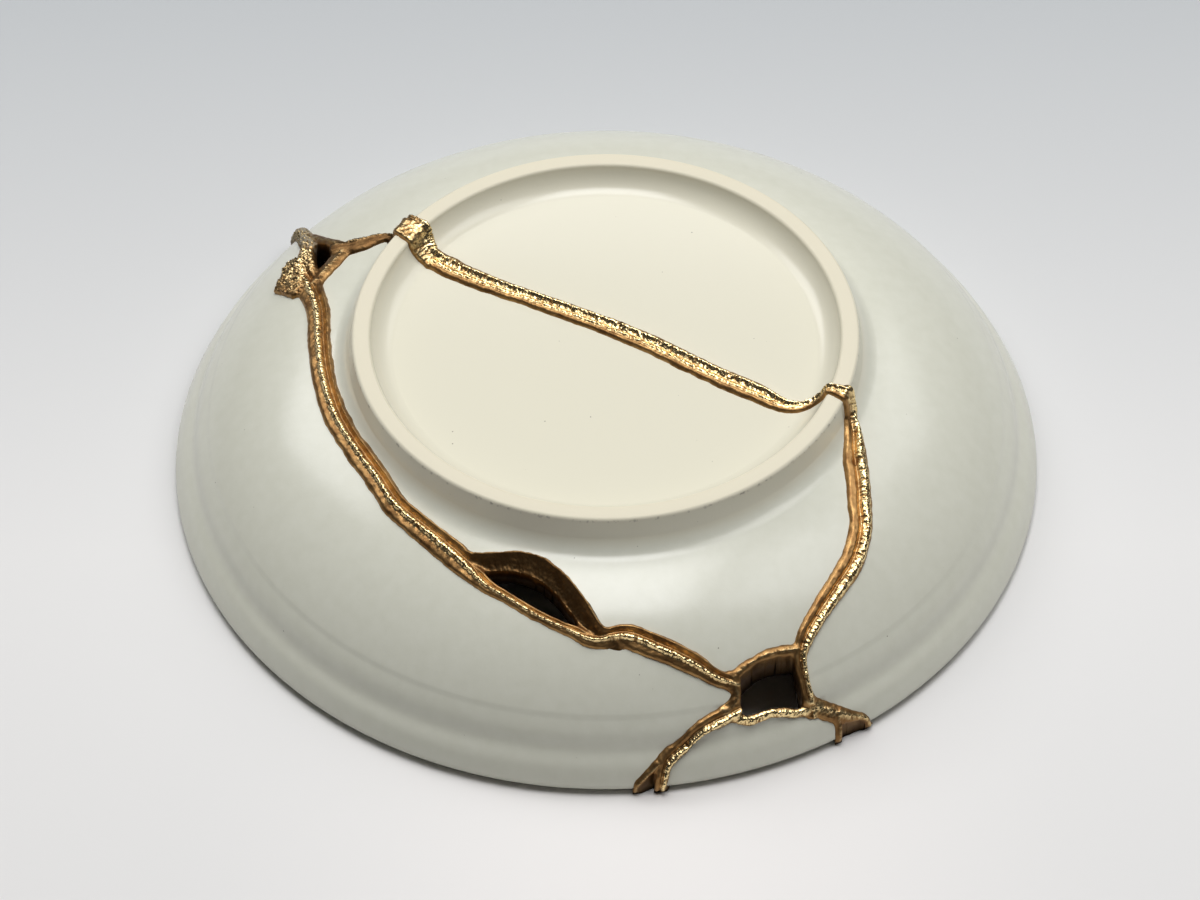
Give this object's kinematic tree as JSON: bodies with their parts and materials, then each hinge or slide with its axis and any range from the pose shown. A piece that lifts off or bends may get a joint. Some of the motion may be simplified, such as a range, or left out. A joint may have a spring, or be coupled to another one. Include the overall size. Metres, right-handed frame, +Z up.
{
  "type": "kintsugi plate",
  "caption": "Mended ceramic plate lying upside down on its rim, with glazed shards joined by a proud metal seam that leaves small gaps open.",
  "frame": {"origin": "middle of the plate, on the surface that its rim lies on", "axes": "+Z up through the foot ring, which is the plate's underside in use; +Y away from the viewer of the picture; +X to the viewer's right"},
  "size_m": [0.2, 0.2006, 0.0427],
  "materials": {
    "glaze": "satin glaze, off-white with fine dark specks",
    "seam_metal": "crinkled bronze-gold crest with browner smooth edges"
  },
  "bodies": {
    "root": {"back_shard": "glaze", "middle_shard": "glaze", "left_rim_shard": "glaze", "front_rim_shard": "glaze", "metal_seam": "seam_metal"}
  },
  "joints": []
}
